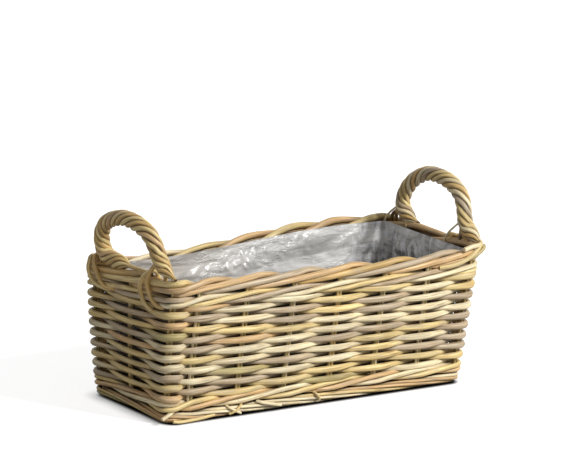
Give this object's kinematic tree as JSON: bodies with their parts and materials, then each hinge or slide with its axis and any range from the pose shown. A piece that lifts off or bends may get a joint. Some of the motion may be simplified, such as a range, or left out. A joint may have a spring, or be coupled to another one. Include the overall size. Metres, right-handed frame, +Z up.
{
  "type": "basket plant pot cover",
  "caption": "Long rectangular woven cane basket that covers plant pots, with a twisted border rim, an arched rope handle at each end and a film liner.",
  "frame": {"origin": "centre of the bounding box's bottom face, on the surface that the foot ring stands on", "axes": "+X along the length towards the right handle, +Y from front to back across the width, +Z up"},
  "size_m": [0.4788, 0.1976, 0.2533],
  "materials": {
    "foot_cane": "dry peeled cane",
    "stake_cane": "dry peeled cane, olive",
    "base_cane": "dry peeled cane",
    "wale_cane": "dry peeled cane",
    "row_cane": "dry peeled cane, cream to grey brown",
    "border_cane": "dry peeled cane, tan to cream",
    "liner_film": "crinkled grey film",
    "handle_cane": "twisted cane, golden tan",
    "handle_core_cane": "plain cane",
    "lashing_cane": "dry peeled cane, golden tan"
  },
  "bodies": {
    "root": {"foot_ring": "foot_cane", "rib_pair_1": "stake_cane", "rib_pair_2": "stake_cane", "rib_pair_3": "stake_cane", "rib_pair_4": "stake_cane", "rib_pair_5": "stake_cane", "rib_pair_6": "stake_cane", "corner_post_front_left": "stake_cane", "corner_post_front_right": "stake_cane", "corner_post_back_right": "stake_cane", "corner_post_back_left": "stake_cane", "end_stake_left": "stake_cane", "end_stake_right": "stake_cane", "base_weaver": "base_cane", "bottom_wale_rod_1": "wale_cane", "bottom_wale_rod_2": "wale_cane", "bottom_wale_rod_3": "wale_cane", "top_wale_rod_1": "wale_cane", "top_wale_rod_2": "wale_cane", "top_wale_rod_3": "wale_cane", "woven_row_01": "row_cane", "woven_row_02": "row_cane", "woven_row_03": "row_cane", "woven_row_04": "row_cane", "woven_row_05": "row_cane", "woven_row_06": "row_cane", "woven_row_07": "row_cane", "woven_row_08": "row_cane", "woven_row_09": "row_cane", "woven_row_10": "row_cane", "woven_row_11": "row_cane", "woven_row_12": "row_cane", "woven_row_13": "row_cane", "woven_row_14": "row_cane", "woven_row_15": "row_cane", "woven_row_16": "row_cane", "woven_row_17": "row_cane", "woven_row_18": "row_cane", "border_rod_1": "border_cane", "border_rod_2": "border_cane", "film_liner": "liner_film", "left_handle_rope": "handle_cane", "left_handle_core": "handle_core_cane", "right_handle_rope": "handle_cane", "right_handle_core": "handle_core_cane", "lashing_left_front": "lashing_cane", "lashing_left_back": "lashing_cane", "lashing_right_front": "lashing_cane", "lashing_right_back": "lashing_cane"}
  },
  "joints": []
}
